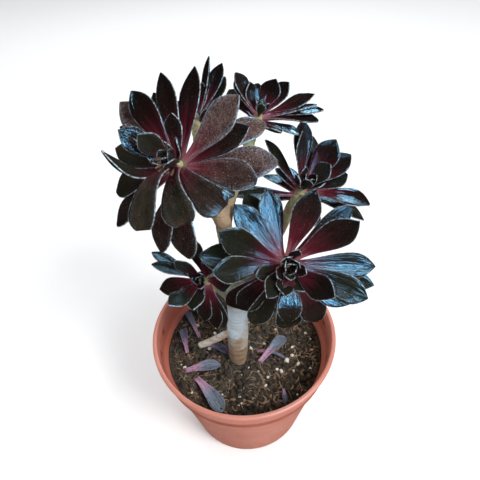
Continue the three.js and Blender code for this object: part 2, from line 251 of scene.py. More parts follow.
# ---- Shader helpers -----------------------------------------------------------------------------------
class Surface:
    """Short hand for the node tree of one material with a Principled shader."""

    def __init__(self, name: str, roughness: float, **levels: float) -> None:
        """Starts the material.

        Args:
            name: The material's name.
            roughness: The shader's roughness.
            levels: Values for other sockets, their spaces written as underscores.
        """
        self.material = bpy.data.materials.new(name)
        self.material.use_nodes = True
        self.tree = self.material.node_tree
        self.shader = next(n for n in self.tree.nodes if n.type == "BSDF_PRINCIPLED")
        self.shader.inputs["Roughness"].default_value = roughness
        for key, value in levels.items():
            self.shader.inputs[key.replace("_", " ")].default_value = value

    def node(self, kind: str, inputs: dict | None = None, **settings: object) -> Node:
        """Adds a node.

        Args:
            kind: The node type's name.
            inputs: Input sockets by name or number, as values or as sockets to link.
            settings: Properties of the node.

        Returns:
            The node.
        """
        made = self.tree.nodes.new(kind)
        for key, value in settings.items():
            setattr(made, key, value)
        for key, value in (inputs or {}).items():
            if isinstance(value, NodeSocket):
                self.tree.links.new(value, made.inputs[key])
            else:
                made.inputs[key].default_value = value
        return made

    def feed(self, socket: str, source: NodeSocket) -> None:
        """Links a socket of the Principled shader."""
        self.tree.links.new(source, self.shader.inputs[socket])

    def place(self) -> NodeSocket:
        """Object coordinates."""
        return self.node("ShaderNodeTexCoord").outputs["Object"]

    def attribute(self, name: str) -> NodeSocket:
        """A number stored on the mesh."""
        return self.node("ShaderNodeAttribute", attribute_name=name).outputs["Fac"]

    def maths(self, operation: str, a: object, b: object = 0.0, clamp: bool = False) -> NodeSocket:
        """One Math node."""
        return self.node("ShaderNodeMath", {0: a, 1: b}, operation=operation, use_clamp=clamp).outputs[0]

    def times(self, a: object, b: object) -> NodeSocket:
        """The product of two numbers."""
        return self.maths("MULTIPLY", a, b)

    def plus(self, a: object, b: object, clamp: bool = False) -> NodeSocket:
        """The sum of two numbers."""
        return self.maths("ADD", a, b, clamp)

    def swing(self, value: object, size: float) -> NodeSocket:
        """How far a value lies from one half, scaled."""
        return self.times(self.maths("SUBTRACT", value, 0.5), size)

    def leaf_map(self) -> tuple[NodeSocket, NodeSocket]:
        """The place across and the place along a leaf, both from 0 to 1."""
        uv = self.node("ShaderNodeUVMap", uv_map="leaf").outputs[0]
        split = self.node("ShaderNodeSeparateXYZ", {0: uv})
        return split.outputs[0], split.outputs[1]

    def mix(self, factor: object, a: object, b: object) -> NodeSocket:
        """A mix of two colours."""
        made = self.node("ShaderNodeMix", data_type="RGBA")
        for socket, value in ((made.inputs[0], factor), (made.inputs[6], a), (made.inputs[7], b)):
            if isinstance(value, NodeSocket):
                self.tree.links.new(value, socket)
            else:
                socket.default_value = (*value, 1.0) if isinstance(value, tuple) else value
        return made.outputs[2]

    def ramp(self, factor: NodeSocket, stops: list[tuple[float, RGB]]) -> NodeSocket:
        """A colour ramp with the given stops."""
        made = self.node("ShaderNodeValToRGB", {0: factor})
        ramp = made.color_ramp
        while len(ramp.elements) < len(stops):
            ramp.elements.new(0.5)
        for element, (place, _) in zip(ramp.elements, stops):
            element.position = place
        for element, (_, colour) in zip(ramp.elements, stops):
            element.color = (*colour, 1.0)
        return made.outputs[0]

    def span(self, value: object, low: float, high: float, to_low: float = 0.0, to_high: float = 1.0
             ) -> NodeSocket:
        """A clamped change of range."""
        return self.node("ShaderNodeMapRange", {0: value, 1: low, 2: high, 3: to_low, 4: to_high}).outputs[0]

    def noise(self, vector: object, scale: float, detail: float = 3.0, rough: float = 0.55
              ) -> NodeSocket:
        """Fractal noise."""
        inputs = {"Vector": vector, "Scale": scale, "Detail": detail, "Roughness": rough}
        return self.node("ShaderNodeTexNoise", inputs).outputs[0]

    def streaks(self, place: tuple[object, object, object], stretch: tuple[float, float], detail: float,
                rough: float = 0.55) -> NodeSocket:
        """Noise on a leaf's own map, stretched by two factors across and along it."""
        across, along, seed = place
        vector = self.node("ShaderNodeCombineXYZ", {
            0: self.times(across, stretch[0]), 1: self.times(along, stretch[1]), 2: seed}).outputs[0]
        return self.noise(vector, 1.0, detail, rough)

    def bump(self, height: NodeSocket, strength: float, distance: float) -> None:
        """Feeds a bump of the given height in metres to the shader's normal."""
        made = self.node("ShaderNodeBump", {"Height": height, "Strength": strength, "Distance": distance})
        self.feed("Normal", made.outputs[0])


# ---- Finishes -----------------------------------------------------------------------------------------
@dataclass(frozen=True)
class LeafFinish:
    """Glossy brown-purple leaf: green foot, pink and wine red stalk, pale margin, dust on old leaves, and a
    painted blue-grey sheen along the margins of the dusty ones.
    """

    name: str = "leaf_gloss"
    green: RGB = (0.27, 0.34, 0.12)
    pink: RGB = (0.42, 0.13, 0.17)
    wine: RGB = (0.105, 0.010, 0.020)
    maroon: RGB = (0.044, 0.0065, 0.0105)
    brown: RGB = (0.012, 0.0050, 0.0042)
    night: RGB = (0.0065, 0.0048, 0.0040)
    olive: RGB = (0.013, 0.014, 0.008)
    dust: RGB = (0.19, 0.115, 0.10)
    # The next colour is a painted blue-grey sheen on the margins of dust-marked leaves, not a wax bloom.
    bloom_and_sheen: RGB = (0.20, 0.24, 0.29)
    margin: RGB = (0.40, 0.47, 0.52)
    speck: RGB = (0.60, 0.46, 0.33)

    def build(self) -> Material:
        """Makes the material."""
        s = Surface(self.name, 0.3, IOR=1.5, Specular_Tint=(0.45, 0.76, 1.0, 1.0))
        across, along = s.leaf_map()
        # The dust mark carries both real dust and the painted sheen on the margins.
        tone, dust_and_sheen, under = s.attribute("tone"), s.attribute("dust_and_sheen"), s.attribute("under")
        place = across, along, s.times(tone, 40.0)
        rim = s.maths("ABSOLUTE", s.maths("SUBTRACT", s.times(across, 2.0), 1.0))
        fine = s.streaks(place, (46.0, 3.0), 5.0, 0.65)
        broad = s.streaks(place, (9.0, 1.4), 3.0)
        patch = s.noise(s.place(), 120.0, 5.0, 0.65)
        grain = s.noise(s.place(), 1500.0, 2.0)
        wander = s.plus(s.plus(s.swing(fine, 0.55), s.swing(tone, 0.22)), s.swing(broad, 0.4))
        shade = s.plus(along, s.times(wander, s.span(along, 0.0, 0.3)))
        base = s.ramp(shade, [(0.02, self.green), (0.08, self.pink), (0.22, self.wine), (0.42, self.maroon),
                              (0.6, self.brown), (0.85, self.night)])
        tinted = s.mix(s.times(s.span(tone, 0.45, 0.8), s.span(along, 0.35, 0.7)), base, self.olive)
        powder = s.times(s.span(grain, 0.42, 0.6, 0.35, 1.0), s.span(patch, 0.34, 0.6, 0.25, 1.0))
        grime = s.times(s.times(powder, dust_and_sheen), s.span(along, 0.12, 0.45))
        dusted = s.mix(grime, tinted, self.dust)
        # Painted sheen: grainy blue-grey towards the margins of the dust-marked leaves, standing in for
        # reflected sky.
        painted_sheen_mask = s.times(s.times(s.span(rim, 0.55, 1.0), dust_and_sheen), s.span(grain, 0.4, 0.6))
        with_painted_sheen = s.mix(s.times(painted_sheen_mask, 0.7), dusted, self.bloom_and_sheen)
        broken = s.span(s.noise(s.place(), 700.0, 3.0, 0.6), 0.42, 0.58, 0.12, 1.0)
        edge = s.times(s.span(rim, 0.95, 0.99), s.times(broken, s.span(along, 0.1, 0.4)))
        edged = s.mix(edge, with_painted_sheen, self.margin)
        specks = s.times(s.span(grain, 0.69, 0.73), s.span(dust_and_sheen, 0.0, 1.0, 0.12, 0.9))
        s.feed("Base Color", s.mix(specks, edged, self.speck))
        sheen = s.plus(s.times(broad, 0.6), s.times(fine, 0.4))
        dull = s.plus(s.times(grime, 0.35), s.times(under, 0.1))
        s.feed("Roughness", s.plus(s.span(sheen, 0.42, 0.58, 0.06, 0.17), dull))
        ridges = s.plus(s.times(fine, 0.3), s.times(broad, 1.8))
        s.bump(s.plus(ridges, s.times(s.noise(s.place(), 300.0, 3.0), 0.5)), 0.55, 0.0007)
        return s.material


@dataclass(frozen=True)
class HairFinish:
    """Short pale hairs on the leaves' margins."""

    name: str = "margin_hair"
    pale: RGB = (0.55, 0.6, 0.66)
    dull: RGB = (0.16, 0.15, 0.16)

    def build(self) -> Material:
        """Makes the material."""
        s = Surface(self.name, 0.5, IOR=1.45)
        s.feed("Base Color", s.mix(s.span(s.noise(s.place(), 160.0), 0.35, 0.65), self.dull, self.pale))
        return s.material


@dataclass(frozen=True)
class BarkFinish:
    """Smooth tan bark with a grey bloom, ring scars low down, and green young shoots."""

    name: str = "aeonium_bark"
    tan: RGB = (0.36, 0.245, 0.145)
    bloom_and_sheen: RGB = (0.50, 0.59, 0.64)
    crack: RGB = (0.13, 0.08, 0.045)
    olive: RGB = (0.24, 0.19, 0.10)
    green: RGB = (0.33, 0.38, 0.18)
    blush: RGB = (0.34, 0.20, 0.13)

    def build(self) -> Material:
        """Makes the material."""
        s = Surface(self.name, 0.6, IOR=1.45)
        place = s.place()
        height = s.node("ShaderNodeSeparateXYZ", {0: place}).outputs[2]
        patch = s.noise(place, 70.0, 4.0)
        flat = s.node("ShaderNodeMapping", {0: place, 3: (70.0, 70.0, 620.0)}).outputs[0]
        rings = s.noise(flat, 1.0, 3.0, 0.6)
        low = s.mix(s.times(s.span(patch, 0.38, 0.56), s.span(height, 0.108, 0.124, 0.05, 1.0)),
                    self.tan, self.bloom_and_sheen)
        worn = s.span(height, 0.128, 0.098, 0.25, 0.8)
        aged = s.mix(s.times(s.span(rings, 0.5, 0.62), worn), low, self.crack)
        high = s.mix(s.span(patch, 0.35, 0.7), self.olive, self.tan)
        cracked = s.mix(s.span(rings, 0.56, 0.7, 0.0, 0.6), high, self.crack)
        body = s.mix(s.span(height, 0.150, 0.185), aged, cracked)
        young = s.times(s.attribute("young"), s.span(patch, 0.25, 0.5, 0.75, 1.0))
        shoot = s.mix(s.span(s.noise(place, 260.0, 4.0), 0.5, 0.62), self.green, self.blush)
        s.feed("Base Color", s.mix(young, body, shoot))
        s.feed("Roughness", s.span(patch, 0.3, 0.7, 0.5, 0.75))
        s.bump(s.maths("SUBTRACT", s.noise(place, 600.0, 3.0), s.times(rings, 1.5)), 0.8, 0.0009)
        return s.material


@dataclass(frozen=True)
class PotFinish:
    """Satin moulded plastic in terracotta pink, a little mottled and scuffed, with painted shade that darkens
    the inside towards the bottom and painted shadow in the finger dents.
    """

    name: str = "terracotta_plastic"
    skin: RGB = (0.50, 0.175, 0.125)
    light: RGB = (0.60, 0.25, 0.19)
    deep: RGB = (0.38, 0.095, 0.058)
    # Painted shade colour for the lower inside wall.
    dent: RGB = (0.17, 0.035, 0.022)
    # Painted shadow colour for the finger dents.

    def build(self) -> Material:
        """Makes the material."""
        s = Surface(self.name, 0.4, IOR=1.5, Subsurface_Weight=0.12, Subsurface_Scale=0.004)
        place = s.place()
        patch = s.noise(place, 22.0, 5.0)
        flow = s.noise(s.node("ShaderNodeMapping", {0: place, 3: (30.0, 30.0, 400.0)}).outputs[0], 1.0, 3.0)
        mottled = s.mix(s.span(patch, 0.3, 0.7), self.skin, self.light)
        # Painted shade: the inside wall darkens towards the bottom.
        inner = s.mix(s.times(s.attribute("inside"), s.span(patch, 0.2, 0.7, 0.55, 1.0)),
                      mottled, self.deep)
        scuff = s.times(s.span(s.noise(place, 260.0, 4.0), 0.58, 0.7), 0.22)
        # Painted shadow in the finger dents.
        dent_shaded = s.mix(s.span(s.attribute("inside"), 1.1, 1.9), inner, self.dent)
        s.feed("Base Color", s.mix(scuff, dent_shaded, self.light))
        s.feed("Roughness", s.span(s.noise(place, 120.0, 4.0), 0.3, 0.7, 0.34, 0.52))
        s.bump(s.plus(flow, s.times(s.noise(place, 900.0, 2.0), 0.7)), 0.25, 0.0003)
        return s.material


@dataclass(frozen=True)
class GrainFinish:
    """A rough natural grain in two tones, for soil, perlite, bark and roots."""

    name: str
    dark: RGB
    light: RGB
    scale: float = 300.0
    roughness: float = 0.85
    relief: float = 0.0008

    def build(self) -> Material:
        """Makes the material."""
        s = Surface(self.name, self.roughness, IOR=1.4)
        place = s.place()
        fine = s.noise(place, self.scale, 5.0, 0.65)
        wide = s.noise(place, self.scale * 0.12, 3.0)
        tone = s.span(s.attribute("tone"), 0.0, 1.0, 0.0, 0.35)
        mixed = s.mix(s.plus(s.span(fine, 0.35, 0.68), tone, clamp=True), self.dark, self.light)
        s.feed("Base Color", s.mix(s.span(wide, 0.35, 0.65, 0.0, 0.5), mixed, self.dark))
        s.bump(s.plus(fine, s.noise(place, self.scale * 3.0, 3.0)), 0.8, self.relief)
        return s.material


@dataclass(frozen=True)
class FallenFinish:
    """Withered leaf: grey-blue blade with a lilac stalk and brown flecks."""

    name: str = "leaf_withered"
    blade: RGB = (0.15, 0.20, 0.27)
    violet: RGB = (0.12, 0.075, 0.16)
    olive: RGB = (0.055, 0.06, 0.055)
    stalk: RGB = (0.40, 0.22, 0.33)
    fleck: RGB = (0.05, 0.035, 0.03)

    def build(self) -> Material:
        """Makes the material."""
        s = Surface(self.name, 0.5, IOR=1.45)
        across, along = s.leaf_map()
        tone = s.attribute("tone")
        patch = s.noise(s.place(), 140.0, 4.0)
        lines = s.streaks((across, along, s.times(tone, 30.0)), (14.0, 3.0), 4.0)
        blade = s.mix(s.times(tone, s.span(patch, 0.3, 0.7, 0.4, 1.0)), self.blade, self.violet)
        streaked = s.mix(s.times(s.span(lines, 0.45, 0.62), 0.75), blade, self.olive)
        foot = s.plus(along, s.swing(lines, 0.5))
        body = s.mix(s.span(foot, 0.28, 0.55), self.stalk, streaked)
        flecks = s.span(s.noise(s.place(), 500.0, 4.0), 0.56, 0.66, 0.0, 0.7)
        s.feed("Base Color", s.mix(flecks, body, self.fleck))
        s.feed("Roughness", s.span(patch, 0.3, 0.7, 0.35, 0.65))
        s.bump(s.plus(lines, s.noise(s.place(), 600.0, 4.0)), 0.7, 0.0007)
        return s.material


HUSK_FINISH = FallenFinish("leaf_husk", (0.20, 0.115, 0.065), (0.10, 0.05, 0.032), (0.05, 0.03, 0.02),
                           (0.26, 0.16, 0.09), (0.04, 0.025, 0.018))


# ---- Leaves -------------------------------------------------------------------------------------------
LEAF_ROWS = 18
LEAF_COLUMNS = 8
# Margin thickness in millimetres, and how far the margins lift, as a share of the half width.
LEAF_EDGE = 0.55
LEAF_CHANNEL = 0.26
# Exponents that draw the grid's rows towards the tip and its columns towards the margins.
LEAF_TIP_CROWDING = 1.35
LEAF_EDGE_CROWDING = 0.85


@dataclass
class Leaf:
    """One leaf: a channelled blade, widest past its middle, that ends in a short point.

    Lengths are in millimetres, angles in degrees. Bow is how far the midrib sags below the straight
    line to the tip, as a share of the length.
    """

    root: Vector
    chord: Vector
    up: Vector
    length: float
    width: float
    bow: float = 0.0
    tone: float = 0.5
    dust_and_sheen: float = 0.0
    seed: int = 0
    flesh: float = 1.0
    wave: float = 0.35
    fold: float = 0.0
    foot: float = 0.24

    def __post_init__(self) -> None:
        """Draws this leaf's small irregularities."""
        rng = random.Random(self.seed)
        self.side = self.up.cross(self.chord).normalized()
        self.twist = math.radians(rng.uniform(-7.0, 7.0))
        self.sweep = rng.uniform(-0.03, 0.03)
        self.phase = rng.uniform(0.0, FULL_TURN)
        self.ripples = rng.uniform(5.0, 9.0)
        self.blunt = rng.uniform(1.25, 1.6)
        self.widest = rng.uniform(0.70, 0.76) - 0.5 * min(self.bow, 0.0)

    def outline(self, t: float) -> float:
        """Half width as a share of the widest, at a share t of the length."""
        fan = smoothstep(0.12, 0.2, -self.bow)
        if t < self.widest:
            spoon = smoothstep(0.08, self.widest, t) ** 1.1
            return self.foot + (1.0 - self.foot) * (spoon + fan * ((t / self.widest) ** 1.5 - spoon))
        tip = 0.03 + 1.6 * max(-self.bow, 0.0) + 0.15 * fan
        past = (t - self.widest) / (1.0 - self.widest)
        return 1.0 - (1.0 - tip) * past ** (self.blunt + 0.65 + 1.3 * fan)

    def thickness(self, t: float) -> float:
        """Thickness on the midrib, in millimetres."""
        return self.flesh * (2.5 - 1.1 * t - 0.5 * smoothstep(0.8, 1.0, t))

    def frame(self, t: float) -> tuple[Vector, Vector, Vector]:
        """The midrib's point, the upward normal and the sideways direction at a share of the length."""
        slope = -4.0 * self.bow * (1.0 - 2.0 * t)
        normal = (self.up - self.chord * slope).normalized()
        reach = self.length * MM
        middle = (self.root + self.chord * (reach * t) - self.up * (4.0 * self.bow * reach * t * (1.0 - t))
                  + self.side * (self.sweep * reach * t * t))
        turn = Quaternion(self.chord, self.twist * t)
        return middle, turn @ normal, turn @ self.side

    def point(self, s: float, t: float, below: float) -> Vector:
        """A point of the skin.

        Args:
            s: Place across, from -1 to 1.
            t: Place along, from 0 to 1.
            below: 0 for the upper face, 1 for the lower face.

        Returns:
            The point, in metres.
        """
        middle, normal, side = self.frame(t)
        half = 0.5 * self.width * self.outline(t)
        arch = math.sqrt(max(1.0 - s * s, 0.0))
        body = 0.5 * (self.thickness(t) * arch + LEAF_EDGE * (1.0 - arch))
        lift = (LEAF_CHANNEL + self.fold) * half * abs(s) ** 1.2
        ripple = math.sin(self.ripples * t + self.phase + s)
        lift += self.wave * smoothstep(0.3, 0.7, t) * abs(s) ** 3 * ripple
        if below:
            lift -= body * (1.0 + 0.25 * math.exp(-(s / 0.2) ** 2))
        else:
            lift += body - 0.3 * math.exp(-(s / 0.13) ** 2) * (1.0 - 0.7 * t)
        reach = s * half * (1.0 - 0.35 * self.fold * abs(s))
        return middle + side * (reach * MM) + normal * (lift * MM)

    def build(self, layers: "LeafLayers") -> BMesh:
        """Bends a flat grid into the upper face and an extruded copy of it into the lower face.

        Args:
            layers: The names of the stored numbers.

        Returns:
            The closed leaf.
        """
        bm = bmesh.new()
        handles = layers.make(bm)
        upper = bmesh.ops.create_grid(bm, x_segments=LEAF_COLUMNS, y_segments=LEAF_ROWS, size=1.0)["verts"]
        spot = {v: (v.co.x, 0.5 * (v.co.y + 1.0), 0.0) for v in upper}
        grown = bmesh.ops.extrude_face_region(bm, geom=list(bm.faces))["geom"]
        spot.update((v, (v.co.x, 0.5 * (v.co.y + 1.0), 1.0)) for v in grown if isinstance(v, BMVert))
        for v, (s, t, below) in spot.items():
            eased = 1.0 - (1.0 - t) ** LEAF_TIP_CROWDING
            spread = math.copysign(abs(s) ** LEAF_EDGE_CROWDING, s)
            v.co = self.point(spread, eased, below)
            layers.store(handles, v, self, (spread, eased, below))
        return face_outward(bm)

    def hairs(self, spacing: float, reach: float) -> BMesh:
        """Short hairs along both margins.

        Args:
            spacing: Distance between hairs, in millimetres.
            reach: Their length, in millimetres.

        Returns:
            Three-sided cones, each closed.
        """
        bm = bmesh.new()
        rng = random.Random(self.seed + 7)
        count = max(int(self.length / spacing), 4)
        for i in range(count):
            t = 0.12 + 0.86 * (i + rng.uniform(0.1, 0.9)) / count
            for s in (-1.0, 1.0):
                foot = self.point(s, t, 0.0).lerp(self.point(s, t, 1.0), 0.5)
                _, normal, side = self.frame(t)
                lean = self.chord * rng.uniform(0.2, 0.9) + normal * rng.uniform(-0.35, 0.35)
                out = (side * s + lean).normalized()
                size = reach * rng.uniform(0.6, 1.1) * MM
                turn = UP.rotation_difference(out).to_matrix().to_4x4()
                matrix = Matrix.Translation(foot + out * (0.42 * size)) @ turn
                bmesh.ops.create_cone(bm, cap_ends=True, cap_tris=True, segments=3, radius1=0.1 * MM,
                                      radius2=0.008 * MM, depth=size, matrix=matrix)
        return bm


@dataclass(frozen=True)
class LeafLayers:
    """The numbers stored on each leaf's mesh for its material."""

    uv: str = "leaf"
    tone: str = "tone"
    dust_and_sheen: str = "dust_and_sheen"
    under: str = "under"

    def make(self, bm: BMesh) -> tuple:
        """Adds the layers to a bmesh and returns their handles."""
        loops = bm.loops.layers.uv.new(self.uv)
        return (loops, *(bm.verts.layers.float.new(n) for n in (self.tone, self.dust_and_sheen, self.under)))

    def store(self, handles: tuple, vert: BMVert, leaf: Leaf, spot: tuple[float, float, float]) -> None:
        """Writes one vertex's numbers and the map coordinates of its corners."""
        across, along, below = spot
        loops, tone, dust_and_sheen, under = handles
        vert[tone], vert[dust_and_sheen], vert[under] = leaf.tone, leaf.dust_and_sheen, below
        for loop in vert.link_loops:
            loop[loops].uv = (0.5 * (across + 1.0), along)


@dataclass
class Rosette:
    """A head of leaves on the end of a branch, with its hairs, its young bud leaves and its stalk."""

    name: str
    at: tuple[float, float, float]
    faces: tuple[float, float, float]
    bud_count: int
    bud_length: float
    bud_turn: float
    rows: list[tuple]
    # Dust and painted margin sheen for numbered leaves, and the most that the other leaves draw at random.
    dust_and_sheen: dict[int, float] = field(default_factory=dict)
    dust_and_sheen_spread: float = 0.07
    core_below: float = 9.0
    core_above: float = 9.0
    core_radius: float = 3.7
    neck: float = 3.3
    husk_count: int = 0
    bud_rise: float = 48.0
    bud_lift: float = 30.0
    bud_size: float = 1.35
    bud_shrink: float = 0.5
    root_spread: float = 5.0
    hair_spacing: float = 0.9
    hair_length: float = 0.75

    def __post_init__(self) -> None:
        """Works out the middle and the axis."""
        self.middle = mm(*self.at)
        self.axis = Vector(self.faces).normalized()

    def leaf(self, chord: Vector, row: tuple, index: int) -> Leaf:
        """One leaf, rooted low on the stalk if it points outwards and high if it stands up.

        Args:
            chord: Direction from root to tip.
            row: Length, width, bow and roll.
            index: The leaf's number in its rosette.

        Returns:
            The leaf.
        """
        length, width, bow, roll = row
        lean = chord.dot(self.axis)
        up = Quaternion(chord, math.radians(roll)) @ (self.axis - chord * lean).normalized()
        rng = random.Random(f"{self.name}{index}")
        return Leaf(self.middle + self.axis * (self.root_spread * MM * lean), chord, up, length, width, bow,
                    tone=rng.random(), dust_and_sheen=self.dust_and_sheen.get(index, rng.uniform(0.0, self.dust_and_sheen_spread)),
                    seed=rng.randrange(10 ** 6))

    def leaves(self) -> list[Leaf]:
        """All leaves of the head: the placed ones and then the spiral of the bud."""
        made = []
        for index, row in enumerate(self.rows):
            heading, rise, length, width, bow, roll = (*row, 0.0)[:6]
            made.append(self.leaf(heading_vector(heading, rise), (length, width, bow, roll), index))
        turn = UP.rotation_difference(self.axis)
        for i in range(self.bud_count):
            share = i / (self.bud_count - 1)
            rise = self.bud_rise + self.bud_lift * share
            chord = turn @ heading_vector(self.bud_turn + i * GOLDEN_ANGLE, rise)
            size = self.bud_length * (self.bud_size - self.bud_shrink * share)
            made.append(self.leaf(chord, (size, 0.55 * self.bud_length, 0.1, 0.0), 100 + i))
        return made

    def stalk(self) -> BMesh:
        """The short leafy end of the branch, spun from its outline and roughened by leaf scars."""
        low, high, wide = self.core_below, self.core_above, self.core_radius
        outline = [(0.0, -low), (self.neck * 0.9, -low), (self.neck, -low * 0.8), (wide, -low / 3),
                   (wide * 0.86, high / 3), (wide * 0.4, high * 0.85), (0.0, high)]
        bm = spun(outline, steps=20, cuts=3, layer="young")
        young = bm.verts.layers.float["young"]
        turn = UP.rotation_difference(self.axis)
        for v in bm.verts:
            scar = 1.0 + 0.07 * noise.noise(v.co * 900.0) + 0.04 * math.sin(v.co.z / MM * 4.0)
            v[young] = 1.0
            v.co = self.middle + turn @ Vector((v.co.x * scar, v.co.y * scar, v.co.z))
        return face_outward(bm)

    def husks(self, layers: LeafLayers) -> BMesh:
        """Small dry leaves that are left around the bud's foot."""
        rng = random.Random(self.name)
        turn = UP.rotation_difference(self.axis)
        whole = bmesh.new()
        layers.make(whole)
        for i in range(self.husk_count):
            chord = turn @ heading_vector(rng.uniform(0.0, 360.0), rng.uniform(5.0, 60.0))
            up = (self.axis - chord * chord.dot(self.axis)).normalized()
            husk = Leaf(self.middle + self.axis * (8.0 * MM), chord, up, rng.uniform(8.0, 12.0),
                        rng.uniform(1.2, 2.2), rng.uniform(-0.22, 0.22), tone=rng.random(), seed=700 + i,
                        flesh=0.35, wave=0.3, fold=0.6, foot=0.6)
            append_mesh(whole, husk.build(layers))
        return whole

    def build(self, leaf_skin: Material, hair: Material, bark: Material,
              dry: Material) -> None:
        """Makes the head's pieces.

        Args:
            leaf_skin: The leaves' material.
            hair: The hairs' material.
            bark: The stalk's material.
            dry: The husks' material.
        """
        layers = LeafLayers()
        blades, hairs = bmesh.new(), bmesh.new()
        layers.make(blades)
        for leaf in self.leaves():
            append_mesh(blades, leaf.build(layers))
            append_mesh(hairs, leaf.hairs(self.hair_spacing, self.hair_length))
        finish_piece(self.name + "_leaves", blades, leaf_skin, stands_for=self.name)
        finish_piece(self.name + "_hairs", hairs, hair)
        finish_piece(self.name + "_stalk", self.stalk(), bark)
        if self.husk_count:
            finish_piece(self.name + "_husks", self.husks(layers), dry)


# Rows are [heading, rise, length, width, bow, roll], as on the solid model.
ROSETTES = [
    Rosette("rosette_left_top", (-26.5, -6, 259), (-0.5, -0.4, 0.77), 8, 12, 20, [
        (100, 42, 50, 13, 0.04), (76, 43, 52, 14, 0.03), (130, 42, 43, 14, 0.05), (122, 27, 50, 14, 0.04),
        (111, 30, 45, 13, 0.02), (136, 28, 46, 15, 0.05), (140, 15, 42, 14, 0.05), (152, 0, 41, 15, 0.05),
        (176, 36, 31, 12, 0.08), (200, 52, 24, 11, 0.1), (93, 62, 25, 12, 0.06), (205, 28, 36, 13, 0.26, 25),
        (170, -24, 42, 15, -0.05), (188, -38, 50, 15, -0.06), (249, -14, 40, 18, -0.22),
        (275, -20, 33, 17, -0.22), (304, -10, 35, 16, -0.2), (345, -26, 28, 12, -0.05),
        (344, 9, 49, 16, -0.06, 10), (331, 6, 42, 15, -0.1), (30, 12, 51, 16, -0.04, 12),
        (352, 34, 42, 13, 0.04, 10), (352, 48, 48, 15, 0.03, 25), (222, -62, 49, 16, -0.05),
        (264, -64, 48, 18, -0.05), (54, 14, 45, 14, 0.02),
    ], {5: 0.7, 14: 0.18, 15: 0.2, 16: 0.18, 18: 1.0, 19: 0.4, 20: 1.0, 22: 1.0, 23: 0.2, 24: 0.18}, 0.15,
            husk_count=14),
    Rosette("rosette_front", (25.5, -22, 202), (0.15, -0.82, 0.55), 9, 12, 70, [
        (146, 42, 44, 15, 0.05), (108, 48, 43, 14, 0.03), (118, 32, 47, 14, 0.02), (46, 56, 45, 16, 0.03),
        (346, 46, 50, 16, 0.05), (24, 27, 50, 13, 0.02), (359, -6, 53, 15, 0.03), (350, -16, 54, 14, 0.08),
        (341, -17, 51, 16, 0.04), (337, -29, 45, 15, 0.02), (306, 4, 35, 14, 0.08), (180, 34, 44, 16, 0.04),
        (179, 11, 49, 17, 0.02), (199, 14, 44, 15, 0.08), (211, 2, 20, 9, 0.12), (205, -36, 38, 15, -0.04),
        (190, -41, 45, 15, -0.06), (216, -53, 43, 15, -0.1), (276, -72, 46, 16, -0.1),
        (266, -32, 32, 14, -0.14),
        (318, -54, 43, 16, -0.1), (190, -72, 48, 15, -0.06), (262, -8, 21, 10, 0.12),
        (296, -10, 20, 10, 0.12),
        (240, -2, 26, 11, 0.1),
    ]),
    Rosette("rosette_left_low", (-21.5, -14, 183), (-0.35, -0.62, 0.7), 6, 8, 140, [
        (152, 12, 39, 9, 0.04, 60), (172, 18, 33, 9, -0.03, 40), (180, 52, 23, 8, 0.05),
        (172, -22, 34, 12, 0.02),
        (234, 12, 30, 11, 0.1), (228, 6, 18, 8, 0.12), (258, 2, 24, 11, 0.08), (286, -62, 35, 11, 0.04),
        (302, -62, 36, 12, -0.03), (326, 20, 21, 11, 0.05), (350, 72, 17, 9, 0.05), (248, -66, 30, 10, 0.03),
        (110, 30, 28, 10, 0.04), (75, 12, 24, 10, 0.02),
    ]),
    Rosette("rosette_right", (40.3, 23.6, 216.2), (0.38, -0.12, 0.9), 7, 12, 200, [
        (86, 60, 42, 14, 0.04), (92, 72, 36, 12, 0.06), (69, 32, 38, 13, 0.03), (34, 42, 36, 16, 0.05),
        (22, 26, 37, 15, 0.04), (8, 42, 22, 13, 0.08), (10, 14, 30, 15, 0.05), (352, -12, 25, 12, 0),
        (140, 44, 39, 13, 0.02), (140, 30, 22, 10, 0.03), (179, 3, 43, 13, -0.03), (336, -1, 42, 17, -0.04),
        (342, -20, 44, 14, -0.05), (350, -22, 41, 13, -0.05), (278, -8, 28, 12, -0.03),
        (152, -28, 28, 12, -0.04),
        (50, 4, 41, 14, 0.02), (98, 0, 34, 13, -0.02), (68, -16, 38, 13, -0.04), (124, -4, 34, 13, -0.03),
    ]),
    Rosette("rosette_back_right", (14.5, 38, 259), (0.35, 0.15, 0.92), 6, 9, 260, [
        (143, 57, 27, 12, 0.05, -22), (128, 42, 26, 12, 0.03, -20), (121, 64, 19, 11, 0.14, -15),
        (100, 54, 16, 10, 0.1, -10), (38, 54, 21, 13, 0.12), (14, 42, 24, 14, 0.1, 22),
        (10, 15, 35, 11, 0.04, 12), (354, 13, 34, 11, 0.03, 8), (358, 5, 38, 11, -0.02, 14),
        (346, 1, 35, 11, -0.04, 12), (340, -12, 26, 10, -0.03, 10), (118, 13, 33, 12, 0.03, -28),
        (84, 20, 28, 12, 0.02), (56, 14, 30, 12, 0.02), (104, -4, 30, 12, 0.01), (28, -4, 30, 11, -0.02),
        (310, 0, 20, 10, 0.04),
    ]),
    Rosette("rosette_back_left", (-20, 40, 256), (0.05, 0.25, 0.96), 5, 9, 310, [
        (50, 66, 35, 9, 0.04, 5), (52, 45, 36, 10, 0.03, 14), (44, 38, 31, 11, 0.04, 18),
        (57, 63, 21, 10, 0.05, 12), (22, 38, 17, 10, 0.06, 26), (30, 22, 26, 12, 0.03, 24),
        (106, 22, 29, 12, 0.02), (128, 8, 30, 12, 0.02, -16), (82, 6, 32, 13, 0.01),
        (185, 24, 24, 11, 0.04), (150, -4, 30, 12, -0.02), (172, 34, 18, 10, 0.06),
    ]),
]


